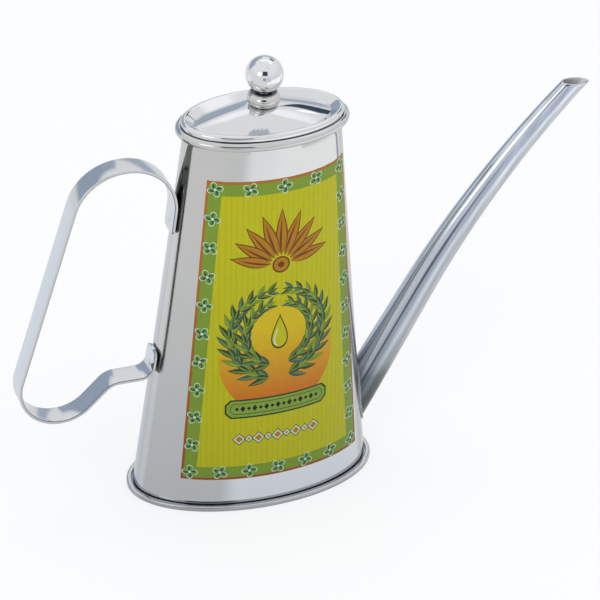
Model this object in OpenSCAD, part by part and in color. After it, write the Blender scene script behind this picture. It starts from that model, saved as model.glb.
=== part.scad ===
// Olive oil tin: a tapered oval can with a long curved spout, a strap handle and a lid with a ball knob.
// Millimetres. +Z is up, +X points toward the spout, and the front face is toward -Y.
// The origin is the centre of the foot, on the table.

/* [Body] */
// Height of the can from the table to the top of the rim
body_h = 171; // [160:1:185]
// Length of the oval wall where it stands on the floor, outside
foot_len = 102; // [96:0.5:108]
// Width of the oval wall where it stands on the floor, outside
foot_wid = 53.4; // [49:0.2:58]
// Length of the oval wall at the mouth, outside
mouth_len = 64.6; // [60:0.2:69]
// Width of the oval wall at the mouth, outside
mouth_wid = 35; // [33:0.2:38]
// Thickness of the steel sheet of the wall, floor and lid
sheet_t = 0.6; // [0.4:0.05:0.8]
// How far the wall bows inward halfway up
wall_bow = 0.3; // [0:0.05:0.8]

/* [Rim and base] */
// Diameter of the rolled bead round the mouth
rim_d = 3.6; // [2.8:0.1:4]
// How far the rolled bead stands out from the wall
rim_out = 3.5; // [2.7:0.1:3.8]
// Height of the seam band round the foot
seam_h = 2.3; // [1.8:0.1:3]
// Width of the seam band
seam_w = 2; // [1.4:0.1:2.6]
// Groove between the wall and the seam band
seam_gap = 0.5; // [0.3:0.05:0.8]
// Height of the underside of the floor above the table
floor_rise = 0.7; // [0.4:0.05:1]

/* [Spout] */
// Height at which the middle of the spout leaves the wall
spout_z = 31; // [28:0.5:36]
// Angle of the straight lower stretch above level
spout_angle = 62.3; // [60:0.1:65]
// Length of the straight lower stretch
spout_straight = 52; // [46:1:58]
// Radius of the curved upper stretch
spout_bend_r = 400; // [350:5:460]
// Height of the spout's mouth above the table
spout_top = 166; // [158:0.5:170]
// Slope of the cut at the spout's mouth, down toward the tip
spout_cut = 4; // [0:0.5:8]
// Section of the spout at the wall, across its upper and lower sides
spout_foot_d = 16.2; // [15:0.1:18]
// Section of the spout at the wall, from side to side
spout_foot_w = 14; // [12.5:0.1:15.5]
// Section of the spout at its mouth, across its upper and lower sides
spout_tip_d = 9.4; // [8.6:0.1:10.5]
// Section of the spout at its mouth, from side to side
spout_tip_w = 6.4; // [6:0.1:8]
// Thickness of the spout's sheet
spout_t = 0.6; // [0.4:0.05:0.8]
// Width of the solder bead round the foot of the spout
solder_w = 1; // [0.6:0.1:1.6]

/* [Handle] */
// Width of the strap
strap_w = 10; // [8:0.5:12]
// Thickness of the strap
strap_t = 1.3; // [1:0.1:1.8]
// Height of the middle of the strap at the top of the loop
grip_top = 157.9; // [152:0.5:164]
// Height of the middle of the strap at the bottom of the loop
grip_low = 43.7; // [38:0.5:46]
// Distance of the grip from the can's centre line, at half the grip's height
grip_reach = 90.2; // [84:0.5:98]
// Lean of the grip from upright
grip_lean = 15.8; // [13:0.2:18]
// Height of the level shelf that runs to the lower weld
shelf_z = 58; // [55:0.5:61]
// Height of the upper weld
weld_top = 129.5; // [125:0.5:133]
// Height of the lower weld
weld_low = 63; // [61.5:0.5:66]
// Length of the upper tab below its weld
tab_top_len = 4; // [3:0.5:8]
// Length of the lower tab above its weld
tab_low_len = 7; // [4:0.5:9]
// Radius of the rounded corners of the tabs
tab_corner = 3; // [1:0.5:4]
// Length of the level shelf between its two bends
shelf_len = 17.4; // [15:0.2:20]
// Bend radius where the strap leaves the upper tab
bend_tab_r = 20.5; // [16:0.5:24]
// Bend radius at the top of the grip
bend_top_r = 21.5; // [16:0.5:24]
// Bend radius at the bottom of the grip
bend_low_r = 17; // [12:0.5:19]
// Bend radius where the strap starts to rise
bend_rise_r = 16.5; // [10:0.5:19]
// Bend radius where the strap turns into the shelf
bend_shelf_r = 8; // [5:0.5:12]
// Bend radius where the shelf turns up into the lower tab
bend_weld_r = 5.5; // [3:0.5:8]

/* [Lid] */
// Height of the lid's raised ring above the rim
ring_h = 2.4; // [2:0.1:3.4]
// Width of the raised ring, from the lid's edge to the valley
ring_w = 5.3; // [4.6:0.1:6.4]
// Radius of the ring's rounded outer edge
ring_round = 1.4; // [0.8:0.05:1.6]
// Height of the dome above the valley round it
dome_h = 5.9; // [5:0.1:7.5]
// How the dome falls away: 1 is a straight slope and 2 is a full curve
dome_curve = 1.4; // [1:0.1:2.4]
// How far the lid's edge stands out over the mouth
lid_over = 1.3; // [0.8:0.1:1.8]
// Gap between the closed lid and the rim
lid_gap = 0.3; // [0.2:0.05:0.5]
// Depth of the sleeve below the rim
sleeve_h = 8; // [5:0.5:14]
// Clearance between the sleeve and the inside of the mouth
sleeve_gap = 0.6; // [0.4:0.1:1]

/* [Knob] */
// Diameter of the ball
ball_d = 15.4; // [13:0.1:17]
// Largest diameter of the collar under the ball
collar_d = 13.4; // [11:0.1:15]
// Height of the collar
collar_h = 5.8; // [5:0.1:6.5]
// Radius of the collar's bulge
bulge_r = 3.2; // [2.6:0.1:3.4]
// Diameter of the collar's neck, in which the ball sits
neck_d = 7.4; // [7:0.1:9]
// Depth by which the ball sits in the collar
ball_seat = 0.7; // [0.4:0.1:1]
// Diameter of the screw's shank
screw_d = 4; // [3:0.1:5]
// Clearance round the screw's shank
screw_gap = 0.1; // [0.05:0.05:0.2]

/* [Label] */
// Height of the label's lower edge
label_low = 14.2; // [12:0.5:20]
// Height of the label's upper edge
label_high = 153; // [140:0.5:156]
// Width of the label at its lower edge, seen from the front
label_w_low = 78.4; // [60:0.5:86]
// Width of the label at its upper edge, seen from the front
label_w_high = 58.4; // [40:0.5:60]
// How far the label's middle stands from the can's, toward the spout
label_shift = 2.6; // [0:0.1:3]
// Thickness of the label
label_t = 0.15; // [0.1:0.05:0.25]

/* [Hidden] */

// Facets
oval_steps = 60;
wall_levels = 4;
roll_steps = 9;
tube_sides = 24;
tube_stations = 18;
bend_steps = 10;
dome_steps = 5;
round_steps = 4;
bulge_steps = 8;
round_fn = 40;

// Shared places
touch = 0.05;
floor_top = floor_rise + sheet_t;
rim_r = rim_d / 2;
roll_z = body_h - rim_r;
roll_off = rim_out - rim_r;
roll_end = -118;
flare_h = 3;
flare_z = roll_z - flare_h;

// The oval wall: half length and half width at height z, outside
function up_share(z) = (z - floor_top) / (body_h - floor_top);
function bow(z) = 4 * up_share(z) * (1 - up_share(z)) * wall_bow;
function wall_a(z) = foot_len / 2 + (mouth_len - foot_len) / 2 * up_share(z) - bow(z);
function wall_b(z) = foot_wid / 2 + (mouth_wid - foot_wid) / 2 * up_share(z) - bow(z);

// A point on the oval of half axes a and b, moved outward by off
function oval_point(a, b, off, t) =
    let (n = [b * cos(t), a * sin(t)])
    [a * cos(t), b * sin(t)] + off * n / norm(n);

// One turn of points round the can at height z, off outside the wall whose size is taken at height z_from
function ring(z_from, off, z) =
    [for (i = [0:oval_steps - 1])
        let (p = oval_point(wall_a(z_from), wall_b(z_from), off, 360 * i / oval_steps))
        [p[0], p[1], z]];

function wall_ring(z, off) = ring(z, off, z);

// Skins over lists of rings that all have the same count of points
function flat(lists) = [for (l = lists) for (x = l) x];

function band_faces(n, i, j) =
    [for (k = [0:n - 1])
        let (m = (k + 1) % n)
        for (f = [[i * n + k, j * n + k, j * n + m], [i * n + k, j * n + m, i * n + m]]) f];

// A closed loop of rings, like a tyre
module skin_loop(rings) {
    n = len(rings[0]);
    count = len(rings);
    polyhedron(flat(rings), [for (r = [0:count - 1]) each band_faces(n, r, (r + 1) % count)], convexity = 8);
}

// A stack of rings, closed by a flat cap at each end
module skin_stack(rings) {
    n = len(rings[0]);
    count = len(rings);
    first_cap = [for (k = [1:n - 2]) [0, k, k + 1]];
    last = (count - 1) * n;
    last_cap = [for (k = [1:n - 2]) [last, last + k + 1, last + k]];
    sides = [for (r = [0:count - 2]) each band_faces(n, r, r + 1)];
    polyhedron(flat(rings), concat(first_cap, sides, last_cap), convexity = 8);
}

// Everything within the outside of the wall, grown by off
module wall_core(off) {
    tall = body_h - floor_top;
    skin_stack([for (i = [0:wall_levels]) wall_ring(floor_top + tall * i / wall_levels, off)]);
}

// Body

// The wall's section from the foot up, round the rolled bead and back down the inside, as [offset, height]
roll_turn = 180 - roll_end;
function roll_points(r) =
    [for (i = [0:roll_steps])
        let (a = 180 - roll_turn * i / roll_steps)
        [roll_off + r * cos(a), roll_z + r * sin(a)]];
function reversed(list) = [for (i = [len(list) - 1:-1:0]) list[i]];

module body_wall() {
    levels = [for (i = [0:wall_levels]) floor_top + (flare_z - floor_top) * i / wall_levels];
    outside = [for (z = levels) wall_ring(z, 0)];
    cavity = [for (p = roll_points(rim_r - sheet_t)) ring(body_h, p[0], p[1])];
    roll = [for (p = reversed(roll_points(rim_r))) ring(body_h, p[0], p[1])];
    inside = [for (z = reversed(levels)) wall_ring(z, -sheet_t)];
    color("silver")
        difference() {
            skin_loop(concat(outside, cavity, roll, inside));
            spout_form(-spout_t);
        }
}

module foot_oval(off) {
    polygon([for (p = wall_ring(floor_top, off)) [p[0], p[1]]]);
}

module base_pan() {
    color("darkgray") {
        linear_extrude(seam_h)
            difference() {
                foot_oval(seam_gap + seam_w);
                foot_oval(seam_gap);
            }
        translate([0, 0, floor_rise])
            linear_extrude(sheet_t)
                foot_oval(seam_gap + seam_w / 2);
    }
}

// Spout

// The middle line starts inside the can, runs straight and then bends toward level
spout_lead = 24;
spout_rise = spout_top - spout_z - spout_straight * sin(spout_angle);
spout_bend = spout_angle - acos(cos(spout_angle) + spout_rise / spout_bend_r);
spout_run = spout_straight + spout_bend_r * spout_bend * PI / 180;

// Angle turned, and the point reached, at the distance s from the wall
function spout_turn(s) = max(0, s - spout_straight) / spout_bend_r * 180 / PI;
function spout_heading(s) = spout_angle - spout_turn(s);
function spout_at(s) =
    let (run = min(s, spout_straight), h = spout_heading(s))
    [wall_a(spout_z) + run * cos(spout_angle) + spout_bend_r * (sin(spout_angle) - sin(h)),
        spout_z + run * sin(spout_angle) + spout_bend_r * (cos(h) - cos(spout_angle))];
function spout_share(s) = max(0, s) / spout_run;
function spout_d(s) = spout_foot_d + (spout_tip_d - spout_foot_d) * spout_share(s);
function spout_w(s) = spout_foot_w + (spout_tip_w - spout_foot_w) * spout_share(s);

function spout_ring(s, grow) =
    let (c = spout_at(s), h = spout_heading(s), p = spout_d(s) / 2 + grow, q = spout_w(s) / 2 + grow)
    [for (i = [0:tube_sides - 1])
        let (t = -360 * (i + 0.5) / tube_sides)
        [c[0] - p * cos(t) * sin(h), q * sin(t), c[1] + p * cos(t) * cos(h)]];

// The spout as a solid, grown by grow all round, from inside the can to past its mouth
module spout_form(grow) {
    s_from = -spout_lead;
    s_to = spout_run + spout_tip_d;
    skin_stack([for (i = [0:tube_stations])
        spout_ring(s_from + (s_to - s_from) * i / tube_stations, grow)]);
}

// Everything beyond the level cut at the spout's mouth
module above_mouth() {
    big = 4 * spout_tip_d;
    mid = spout_at(spout_run);
    translate([mid[0], 0, spout_top])
        rotate([0, spout_cut, 0])
            translate([-big, -big, 0])
                cube([2 * big, 2 * big, big]);
}

module spout_tube() {
    color("gainsboro")
        difference() {
            spout_form(0);
            spout_form(-spout_t);
            wall_core(0);
            above_mouth();
        }
}

module spout_solder() {
    color("lightgray")
        difference() {
            intersection() {
                spout_form(solder_w);
                wall_core(solder_w);
            }
            spout_form(0);
            wall_core(0);
        }
}

// Handle

// The strap's middle line in the plane y = 0: straight runs joined by round bends
weld_off = strap_t / 2 + touch;
function wall_dir(z) = [wall_a(z - 1) - wall_a(z + 1), 2];
function tab_point(z, up) = [-wall_a(z) - weld_off, z] + up * wall_dir(z) / norm(wall_dir(z));
grip_dir = [sin(grip_lean), cos(grip_lean)];
grip_mid = [-grip_reach, (grip_top + grip_low) / 2];
rise_dir = [1, 1];

// Where the line through p along u meets the line through q along v
function cross2(u, v) = u[0] * v[1] - u[1] * v[0];
function meet(p, u, q, v) = p + u * cross2(q - p, v) / cross2(u, v);

level = [1, 0];
corner_a = meet(tab_point(weld_top, 0), wall_dir(weld_top), [0, grip_top], level);
corner_b = meet(grip_mid, grip_dir, [0, grip_top], level);
corner_c = meet(grip_mid, grip_dir, [0, grip_low], level);
corner_f = meet(tab_point(weld_low, 0), wall_dir(weld_low), [0, shelf_z], level);
corner_e = corner_f - [shelf_len, 0];
corner_d = meet(corner_e, rise_dir, [0, grip_low], level);

// The strap's corners from the upper tab's end to the lower tab's, and the bend radius at each
knots = [tab_point(weld_top, -tab_top_len), corner_a, corner_b, corner_c, corner_d, corner_e, corner_f,
    tab_point(weld_low, tab_low_len)];
wanted = [0, bend_tab_r, bend_top_r, bend_low_r, bend_rise_r, bend_shelf_r, bend_weld_r, 0];

// Half the angle that the line turns at corner i, and the length that a bend takes from both its runs
function unit(v) = v / norm(v);
function half_turn(i) = acos(unit(knots[i] - knots[i - 1]) * unit(knots[i + 1] - knots[i])) / 2;
function taken(i) = wanted[i] == 0 ? 0 : wanted[i] * tan(half_turn(i));

// A bend is tightened where two bends would need more than the run between them
run_share = 0.98;
least_run = 0.01;
function room(i) = run_share * norm(knots[i + 1] - knots[i]) / max(taken(i) + taken(i + 1), least_run);
function bend_r(i) = wanted[i] * min(1, room(i - 1), room(i));

function bend_arc(i) =
    let (r = bend_r(i), u = unit(knots[i - 1] - knots[i]), v = unit(knots[i + 1] - knots[i]))
    let (mid = knots[i] + unit(u + v) * r / cos(half_turn(i)), leg = r * tan(half_turn(i)))
    let (s = knots[i] + u * leg - mid, e = knots[i] + v * leg - mid)
    let (a = atan2(s[1], s[0]), turn = atan2(cross2(s, e), s * e))
    [for (k = [0:bend_steps]) mid + r * [cos(a + turn * k / bend_steps), sin(a + turn * k / bend_steps)]];

strap_line = concat([knots[0]], flat([for (i = [1:len(knots) - 2]) bend_arc(i)]), [knots[len(knots) - 1]]);

// A line moved sideways by d, to the left of its own direction
function beside(line, d) =
    [for (i = [0:len(line) - 1])
        let (a = line[max(i - 1, 0)], b = line[min(i + 1, len(line) - 1)], t = unit(b - a))
        line[i] + d * [-t[1], t[0]]];

// What a rounded corner takes away at the tip of a tab that points along aim
module corner_waste(tip, aim, side) {
    translate([tip[0], 0, tip[1]])
        rotate([0, atan2(aim[0], aim[1]), 0])
            translate([0, side * (strap_w / 2 - tab_corner), -tab_corner])
                difference() {
                    translate([-strap_t, side > 0 ? 0 : -2 * tab_corner, 0])
                        cube([2 * strap_t, 2 * tab_corner, 2 * tab_corner]);
                    rotate([0, 90, 0])
                        cylinder(r = tab_corner, h = 4 * strap_t, center = true, $fn = round_fn);
                }
}

module handle_strap() {
    tip_top = knots[0];
    tip_low = knots[len(knots) - 1];
    outer = beside(strap_line, strap_t / 2);
    inner = beside(strap_line, -strap_t / 2);
    color("lightsteelblue")
        difference() {
            rotate([90, 0, 0])
                linear_extrude(strap_w, center = true)
                    polygon(concat(outer, reversed(inner)));
            corner_waste(tip_top, -wall_dir(weld_top), 1);
            corner_waste(tip_low, wall_dir(weld_low), 1);
            corner_waste(tip_low, wall_dir(weld_low), -1);
        }
}

// Lid

// The upper face from the edge inward over the ring to the valley, as [offset from the mouth, height]
edge_z = body_h + lid_gap;
ring_top = body_h + ring_h;
valley_off = lid_over - ring_w;
valley_z = edge_z;
round_mid = [lid_over - ring_round, ring_top - ring_round];
slope_run = round_mid[0] - valley_off;
slope_fall = round_mid[1] - valley_z;
slope_angle = atan2(slope_fall, slope_run) + asin(ring_round / norm([slope_run, slope_fall]));
lid_section = concat(
    [[lid_over, edge_z]],
    [for (i = [0:round_steps])
        let (a = (90 + slope_angle) * i / round_steps)
        round_mid + ring_round * [cos(a), sin(a)]],
    [[valley_off, valley_z]]);
under_section = beside(lid_section, sheet_t);

apex_z = valley_z + dome_h;
bulge_share = 0.48;
bulge_z = min(collar_h, 2 * bulge_r) * bulge_share;
seat_r = collar_d / 2 - bulge_r + sqrt(bulge_r * bulge_r - bulge_z * bulge_z);
hole_r = screw_d / 2 + screw_gap;
valley_ring = ring(body_h, valley_off, valley_z);

// The valley's oval drawn in to a circle of radius r, by the share u of the way back out, at height z
function drawn_ring(r, u, z) =
    [for (p = valley_ring)
        let (c = unit([p[0], p[1]]) * r, m = c + ([p[0], p[1]] - c) * u)
        [m[0], m[1], z]];

// The dome, falling from the collar's flat seat to the valley, and the seat in to the screw's hole
function dome_ring(u, drop) = drawn_ring(seat_r, u, valley_z + dome_h * (1 - pow(u, dome_curve)) - drop);
function hole_ring(drop) = drawn_ring(hole_r, 0, apex_z - drop);

function lid_turn(section) = [for (s = section) ring(body_h, s[0], s[1])];

module lid_cover() {
    shares = [for (i = [dome_steps - 1:-1:0]) i / dome_steps];
    top_dome = [for (u = shares) dome_ring(u, 0)];
    under_dome = [for (u = reversed(shares)) dome_ring(u, sheet_t)];
    hole = [hole_ring(0), hole_ring(sheet_t)];
    top_turn = lid_turn(lid_section);
    under_turn = lid_turn(reversed(under_section));
    color("whitesmoke")
        skin_loop(concat(top_turn, top_dome, hole, under_dome, under_turn));
}

// The sleeve's upper edge follows the underside of the lid's ring
sleeve_out = -sheet_t - sleeve_gap;
sleeve_in = sleeve_out - sheet_t;
slope_a = under_section[len(under_section) - 2];
slope_b = under_section[len(under_section) - 1];
slope_grade = (slope_b[1] - slope_a[1]) / (slope_b[0] - slope_a[0]);
function under_z(off) = slope_a[1] + slope_grade * (off - slope_a[0]);

module lid_sleeve() {
    low = body_h - sleeve_h;
    color("silver")
        skin_loop([
            ring(body_h, sleeve_out, low),
            ring(body_h, sleeve_out, under_z(sleeve_out) - touch),
            ring(body_h, sleeve_in, under_z(sleeve_in) - touch),
            ring(body_h, sleeve_in, low)]);
}

// Knob

ball_z = apex_z + collar_h + ball_d / 2 - ball_seat;

past = 1;
bulge_end = 70;

// Outline of the collar: flat seat, round bulge and neck, with a hollow for the ball
module knob_collar() {
    low = asin(bulge_z / bulge_r);
    bulge_mid = collar_d / 2 - bulge_r;
    color("silver")
        translate([0, 0, apex_z + touch])
            difference() {
                rotate_extrude($fn = round_fn)
                    polygon(concat(
                        [[0, 0]],
                        [for (i = [0:bulge_steps])
                            let (a = -low + (low + bulge_end) * i / bulge_steps)
                            [bulge_mid + bulge_r * cos(a), bulge_z + bulge_r * sin(a)]],
                        [[neck_d / 2, collar_h], [0, collar_h]]));
                translate([0, 0, ball_z - apex_z])
                    sphere(d = ball_d, $fn = round_fn);
                translate([0, 0, -past])
                    cylinder(r = hole_r, h = collar_h + 2 * past, $fn = round_fn);
            }
}

bore_share = 0.6;
bore_depth = ball_d * bore_share;

module knob_ball() {
    color("gainsboro")
        translate([0, 0, ball_z + 2 * touch])
            difference() {
                sphere(d = ball_d, $fn = round_fn);
                translate([0, 0, -ball_d / 2 - past])
                    cylinder(r = screw_d / 2, h = bore_depth + past, $fn = round_fn);
            }
}

head_d = screw_d * 2;
head_h = screw_d * 0.55;
end_gap = 0.5;

module knob_screw() {
    head_z = apex_z - sheet_t - touch - head_h;
    tip_z = ball_z - ball_d / 2 + bore_depth - end_gap;
    color("gray") {
        translate([0, 0, head_z])
            cylinder(d = head_d, h = head_h, $fn = round_fn);
        translate([0, 0, head_z])
            cylinder(d = screw_d, h = tip_z - head_z, $fn = round_fn);
    }
}

// Label

// A skin on the wall, cut to its outline as seen from the front
module label_outline() {
    polygon([
        [label_shift - label_w_low / 2, label_low],
        [label_shift + label_w_low / 2, label_low],
        [label_shift + label_w_high / 2, label_high],
        [label_shift - label_w_high / 2, label_high]]);
}

module front_label() {
    color("yellowgreen")
        intersection() {
            difference() {
                wall_core(touch + label_t);
                wall_core(touch);
            }
            rotate([90, 0, 0])
                linear_extrude(foot_wid)
                    label_outline();
        }
}

body_wall();
base_pan();
spout_tube();
spout_solder();
handle_strap();
lid_cover();
lid_sleeve();
knob_collar();
knob_ball();
knob_screw();
front_label();
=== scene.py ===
import math

import bmesh
import bpy
from mathutils import Matrix, Vector, geometry, noise


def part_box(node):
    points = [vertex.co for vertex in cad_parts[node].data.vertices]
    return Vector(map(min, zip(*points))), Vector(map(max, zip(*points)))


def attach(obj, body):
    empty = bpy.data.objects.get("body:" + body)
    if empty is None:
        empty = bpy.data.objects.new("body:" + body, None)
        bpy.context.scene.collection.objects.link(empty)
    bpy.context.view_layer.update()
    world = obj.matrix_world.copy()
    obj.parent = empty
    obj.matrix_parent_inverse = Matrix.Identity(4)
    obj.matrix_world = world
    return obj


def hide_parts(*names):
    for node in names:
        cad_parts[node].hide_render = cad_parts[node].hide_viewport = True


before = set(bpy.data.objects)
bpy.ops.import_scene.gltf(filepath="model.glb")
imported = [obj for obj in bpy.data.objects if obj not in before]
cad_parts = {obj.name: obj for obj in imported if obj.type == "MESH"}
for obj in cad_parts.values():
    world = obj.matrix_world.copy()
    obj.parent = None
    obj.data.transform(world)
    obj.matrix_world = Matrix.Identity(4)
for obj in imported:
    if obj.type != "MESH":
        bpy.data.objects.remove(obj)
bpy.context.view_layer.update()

# Sizes in millimetres. What the frame can tell is read from it, and the rest is named here.
MM = 0.001


def box_mm(node):
    low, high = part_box(node)
    return low / MM, high / MM


PAN_LOW, PAN_HIGH = box_mm("base_pan")
WALL_LOW, WALL_HIGH = box_mm("body_wall")
LID_LOW, LID_HIGH = box_mm("lid_cover")
SLEEVE_LOW, SLEEVE_HIGH = box_mm("lid_sleeve")
COLLAR_LOW, COLLAR_HIGH = box_mm("knob_collar")
BALL_LOW, BALL_HIGH = box_mm("knob_ball")
SCREW_LOW, SCREW_HIGH = box_mm("knob_screw")
STRAP_LOW, STRAP_HIGH = box_mm("handle_strap")
LABEL_LOW, LABEL_HIGH = box_mm("front_label")

SHEET = 0.6
SEAM_GAP = 0.5
SEAM_W = 2.0
FLOOR_RISE = 0.7
RIM_D = 3.6
RIM_OUT = 3.5
WALL_BOW = 0.3
TOP_Z = WALL_HIGH.z
FLOOR_Z = WALL_LOW.z
SEAM_H = PAN_HIGH.z
FOOT_A = PAN_HIGH.x - SEAM_GAP - SEAM_W
FOOT_B = PAN_HIGH.y - SEAM_GAP - SEAM_W
LID_OVER = 1.3
MOUTH_A = LID_HIGH.x - LID_OVER
MOUTH_B = LID_HIGH.y - LID_OVER

COLUMNS = 240
TAU = 2 * math.pi


# Shapes

def lerp(a, b, u):
    return a + (b - a) * u


def wall_half(z):
    """Half length and half width of the oval wall at height z, outside."""
    u = (z - FLOOR_Z) / (TOP_Z - FLOOR_Z)
    bow = 4 * u * (1 - u) * WALL_BOW
    return lerp(FOOT_A, MOUTH_A, u) - bow, lerp(FOOT_B, MOUTH_B, u) - bow


def oval_point(a, b, off, t, z):
    n = Vector((b * math.cos(t), a * math.sin(t))).normalized()
    return Vector((a * math.cos(t) + off * n.x, b * math.sin(t) + off * n.y, z))


def oval_ring(a, b, off, z, count=COLUMNS):
    return [oval_point(a, b, off, TAU * k / count, z) for k in range(count)]


def wall_ring(z, off, count=COLUMNS):
    a, b = wall_half(z)
    return oval_ring(a, b, off, z, count)


def mouth_ring(off, z, count=COLUMNS):
    return oval_ring(MOUTH_A, MOUTH_B, off, z, count)


def arc(cx, cy, r, start, end, steps):
    """Points on an arc, with angles in degrees."""
    angles = [math.radians(lerp(start, end, i / steps)) for i in range(steps + 1)]
    return [(cx + r * math.cos(a), cy + r * math.sin(a)) for a in angles]


def loft(rings, loop=False, caps=False):
    """Points and faces over rings of equal count, each ring closed on itself."""
    count = len(rings[0])
    points = [p for ring in rings for p in ring]
    faces = []
    for r in range(len(rings) if loop else len(rings) - 1):
        low = r * count
        high = (r + 1) % len(rings) * count
        for k in range(count):
            m = (k + 1) % count
            faces.append((low + k, low + m, high + m, high + k))
    if caps:
        faces.append(tuple(reversed(range(count))))
        faces.append(tuple(range(len(points) - count, len(points))))
    return points, faces


def revolve(outline, count=128):
    """A turned piece from its outline of (radius, height), closed by flat caps where it ends off the axis."""
    rings = [[Vector((r * math.cos(TAU * k / count), r * math.sin(TAU * k / count), z)) for k in range(count)]
             for r, z in outline]
    return loft(rings, caps=True)


def piece(name, shape, material, body, node=None, smooth_angle=50):
    """One visible piece in metres, riding on its body."""
    points, faces = shape
    mesh = bpy.data.meshes.new(name)
    mesh.from_pydata([p * MM for p in points], [], faces)
    build = bmesh.new()
    build.from_mesh(mesh)
    bmesh.ops.recalc_face_normals(build, faces=build.faces)
    build.to_mesh(mesh)
    build.free()
    mesh.materials.append(material)
    made = bpy.data.objects.new(name, mesh)
    bpy.context.scene.collection.objects.link(made)
    mesh.shade_smooth()
    mesh.set_sharp_from_angle(angle=math.radians(smooth_angle))
    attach(made, body)
    if node:
        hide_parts(node)
    return made


# Materials

def new_material(name):
    material = bpy.data.materials.new(name)
    material.use_nodes = True
    tree = material.node_tree
    return material, tree, tree.nodes["Principled BSDF"]


def node(tree, kind, values=None, **settings):
    made = tree.nodes.new(kind)
    for key, value in settings.items():
        setattr(made, key, value)
    for key, value in (values or {}).items():
        made.inputs[key].default_value = value
    return made


def ramp(tree, source, stops):
    made = node(tree, "ShaderNodeValToRGB")
    while len(made.color_ramp.elements) < len(stops):
        made.color_ramp.elements.new(0.5)
    for element, (place, colour) in zip(made.color_ramp.elements, stops):
        element.position = place
        element.color = (*colour, 1)
    tree.links.new(source, made.inputs["Fac"])
    return made.outputs["Color"]


def times(tree, first, second):
    made = node(tree, "ShaderNodeMix", {"Factor": 1.0}, data_type="RGBA", blend_type="MULTIPLY")
    tree.links.new(first, made.inputs[6])
    tree.links.new(second, made.inputs[7])
    return made.outputs[2]


def steel(name, colour, rough, wave=0.0, grain=0.0, grain_scale=(1, 1, 1), tint=0.03, shade=None,
          span=(0, 170), echo=1.0, lean=0.0, wipes=38.0,
          metal=1.0):
    """Polished sheet: slow waves of the sheet, fine rolling grain and faint wiping marks.

    shade is a ramp of painted shade over the heights in span, echo dims the piece where other metal mirrors it as a
    painted reflection, and lean turns the grain from upright towards the spout, in degrees."""
    material, tree, shader = new_material(name)
    link = tree.links.new
    place = node(tree, "ShaderNodeTexCoord")
    shader.inputs["Metallic"].default_value = metal
    stretch = node(tree, "ShaderNodeMapping", {"Scale": tuple(1 / c for c in grain_scale),
                                               "Rotation": (0, math.radians(lean), 0)}, vector_type="TEXTURE")
    link(place.outputs["Object"], stretch.inputs["Vector"])
    wipe = node(tree, "ShaderNodeTexNoise", {"Scale": wipes, "Detail": 5.0, "Roughness": 0.6, "Distortion": 0.4})
    link((stretch if lean else place).outputs["Vector" if lean else "Object"], wipe.inputs["Vector"])
    dark = tuple(c * (1 - tint) for c in colour)
    tone = ramp(tree, wipe.outputs["Fac"], [(0.35, dark), (0.65, colour)])
    # Painted shade: the tone darkens over height by the shade ramp.
    if shade:
        parts = node(tree, "ShaderNodeSeparateXYZ")
        link(place.outputs["Object"], parts.inputs[0])
        height = node(tree, "ShaderNodeMapRange", {"From Min": span[0] * MM, "From Max": span[1] * MM})
        link(parts.outputs["Z"], height.inputs["Value"])
        tone = times(tree, tone, ramp(tree, height.outputs["Result"], shade))
    # Painted reflection: the piece turns darker only where other metal mirrors it.
    if echo < 1:
        path = node(tree, "ShaderNodeLightPath")
        seen = ramp(tree, path.outputs["Is Glossy Ray"], [(0.0, (1, 1, 1)), (1.0, (echo, echo, echo * 0.9))])
        tone = times(tree, tone, seen)
    link(tone, shader.inputs["Base Color"])
    smudge = node(tree, "ShaderNodeMapRange", {"From Min": 0.3, "From Max": 0.7, "To Min": rough * 0.8,
                                               "To Max": rough * 1.25})
    link(wipe.outputs["Fac"], smudge.inputs["Value"])
    link(smudge.outputs["Result"], shader.inputs["Roughness"])
    lines = node(tree, "ShaderNodeTexNoise", {"Scale": 900.0, "Detail": 3.0})
    link(stretch.outputs["Vector"], lines.inputs["Vector"])
    fine = node(tree, "ShaderNodeBump", {"Strength": grain, "Distance": 0.00002})
    link(lines.outputs["Fac"], fine.inputs["Height"])
    slow = node(tree, "ShaderNodeTexNoise", {"Scale": 26.0, "Detail": 1.0})
    link(place.outputs["Object"], slow.inputs["Vector"])
    waves = node(tree, "ShaderNodeBump", {"Strength": wave, "Distance": 0.0004})
    link(slow.outputs["Fac"], waves.inputs["Height"])
    link(fine.outputs["Normal"], waves.inputs["Normal"])
    link(waves.outputs["Normal"], shader.inputs["Normal"])
    return material


# The wall is darker and bluer towards its foot: painted shade.
WALL_STEEL = steel("wall_steel", (0.62, 0.62, 0.615), 0.10, wave=0.05, grain=0.25, grain_scale=(1, 1, 0.04),
                   shade=[(0.0, (0.76, 0.80, 0.85)), (0.75, (1, 1, 1))])
INSIDE_STEEL = steel("inside_steel", (0.60, 0.60, 0.59), 0.42, wave=0.05, grain=0.3, grain_scale=(1, 1, 0.04),
                     metal=0.55)
# The base is darker on the side of its band than on top of the seam: painted shade.
BASE_STEEL = steel("base_steel", (0.60, 0.61, 0.63), 0.14, wave=0.05, grain=0.2, span=(0, SEAM_H),
                   shade=[(0.0, (0.58, 0.58, 0.60)), (0.75, (0.64, 0.64, 0.66)), (0.95, (1, 1, 1))])
# The spout darkens strongly towards its foot and lightens up to about 130 mm high: painted shade.
SPOUT_STEEL = steel("spout_steel", (0.68, 0.72, 0.78), 0.07, wave=0.04, grain=0.3, grain_scale=(1, 1, 0.03),
                    lean=27.7, wipes=420.0, tint=0.24,
                    shade=[(0.18, (0.18, 0.20, 0.20)), (0.235, (0.29, 0.31, 0.31)), (0.27, (0.60, 0.61, 0.62)),
                           (0.36, (0.83, 0.84, 0.85)), (0.64, (0.90, 0.90, 0.91)), (0.76, (1, 1, 1))])
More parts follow.
